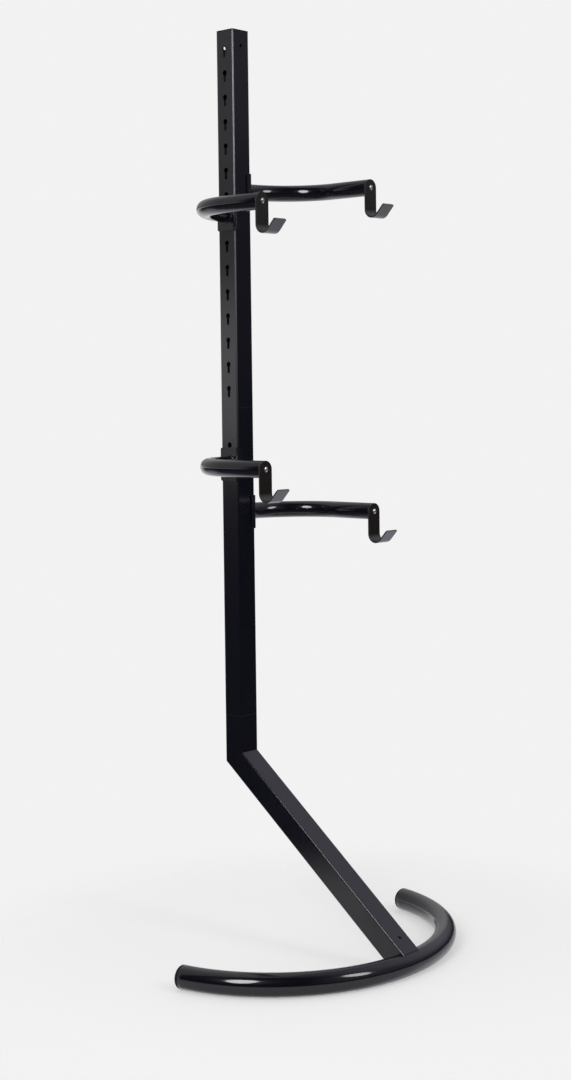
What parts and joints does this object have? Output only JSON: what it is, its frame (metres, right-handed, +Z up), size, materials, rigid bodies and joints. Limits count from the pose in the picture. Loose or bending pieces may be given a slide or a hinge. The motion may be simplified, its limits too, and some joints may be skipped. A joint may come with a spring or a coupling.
{
  "type": "bike rack",
  "caption": "Freestanding gravity rack that leans on a wall: square post on a bent round floor tube, with height-adjustable arms and swivelling hooks that carry bicycles.",
  "frame": {"origin": "centre of the bounding box on the floor; the wall is the plane Y = +260.35 mm", "axes": "+Z up the post, +Y towards the wall, -Y towards the room and the hooks, +X to the right of someone who faces the wall"},
  "size_m": [0.7492, 0.5207, 1.9907],
  "materials": {
    "steel_black": "semi-gloss black powder coat",
    "hook_black": "satin black powder coat",
    "steel_bright": "bright zinc plating",
    "steel_dark": "black oxide",
    "plastic_black": "moulded black plastic"
  },
  "bodies": {
    "stand": {"base_arc": "steel_black", "base_cap_left": "plastic_black", "base_cap_right": "plastic_black", "base_stub": "steel_black", "leg_tube": "steel_black", "leg_nut": "steel_dark", "leg_screw": "steel_dark", "lower_post": "steel_black", "lower_sleeve": "steel_black", "middle_post": "steel_black", "upper_sleeve": "steel_black", "upper_post": "steel_black", "post_cap": "plastic_black", "sleeve_screws": "steel_bright", "sleeve_nuts": "steel_bright"},
    "upper_left_arm": {"bracket_upper_left": "steel_black", "studs_upper_left": "steel_black", "arm_upper_left": "steel_black", "arm_plug_upper_left": "steel_black", "hook_screw_upper_left": "steel_bright"},
    "upper_left_hook": {"hook_upper_left": "hook_black"},
    "upper_right_arm": {"bracket_upper_right": "steel_black", "studs_upper_right": "steel_black", "arm_upper_right": "steel_black", "arm_plug_upper_right": "steel_black", "hook_screw_upper_right": "steel_bright"},
    "upper_right_hook": {"hook_upper_right": "hook_black"},
    "lower_left_arm": {"bracket_lower_left": "steel_black", "studs_lower_left": "steel_black", "arm_lower_left": "steel_black", "arm_plug_lower_left": "steel_black", "hook_screw_lower_left": "steel_bright"},
    "lower_left_hook": {"hook_lower_left": "hook_black"},
    "lower_right_arm": {"bracket_lower_right": "steel_black", "studs_lower_right": "steel_black", "arm_lower_right": "steel_black", "arm_plug_lower_right": "steel_black", "hook_screw_lower_right": "steel_bright"},
    "lower_right_hook": {"hook_lower_right": "hook_black"}
  },
  "joints": [
    {"name": "upper_left_arm_lift", "type": "slide", "parent": "stand", "child": "upper_left_arm", "axis": [0, 0, 1], "range_m": [0, 0.016]},
    {"name": "upper_left_hook_swivel", "type": "hinge", "parent": "upper_left_arm", "child": "upper_left_hook", "pos_m": [-0.171, -0.01145, 1.5895], "axis": [0, -1, 0], "continuous": true},
    {"name": "upper_right_arm_lift", "type": "slide", "parent": "stand", "child": "upper_right_arm", "axis": [0, 0, 1], "range_m": [0, 0.016]},
    {"name": "upper_right_hook_swivel", "type": "hinge", "parent": "upper_right_arm", "child": "upper_right_hook", "pos_m": [0.171, -0.01145, 1.6425], "axis": [0, -1, 0], "continuous": true},
    {"name": "lower_left_arm_lift", "type": "slide", "parent": "stand", "child": "lower_left_arm", "axis": [0, 0, 1], "range_m": [0, 0.016]},
    {"name": "lower_left_hook_swivel", "type": "hinge", "parent": "lower_left_arm", "child": "lower_left_hook", "pos_m": [-0.171, -0.01145, 1.0415], "axis": [0, -1, 0], "continuous": true},
    {"name": "lower_right_arm_lift", "type": "slide", "parent": "stand", "child": "lower_right_arm", "axis": [0, 0, 1], "range_m": [0, 0.016]},
    {"name": "lower_right_hook_swivel", "type": "hinge", "parent": "lower_right_arm", "child": "lower_right_hook", "pos_m": [0.171, -0.01145, 0.9355], "axis": [0, -1, 0], "continuous": true}
  ]
}
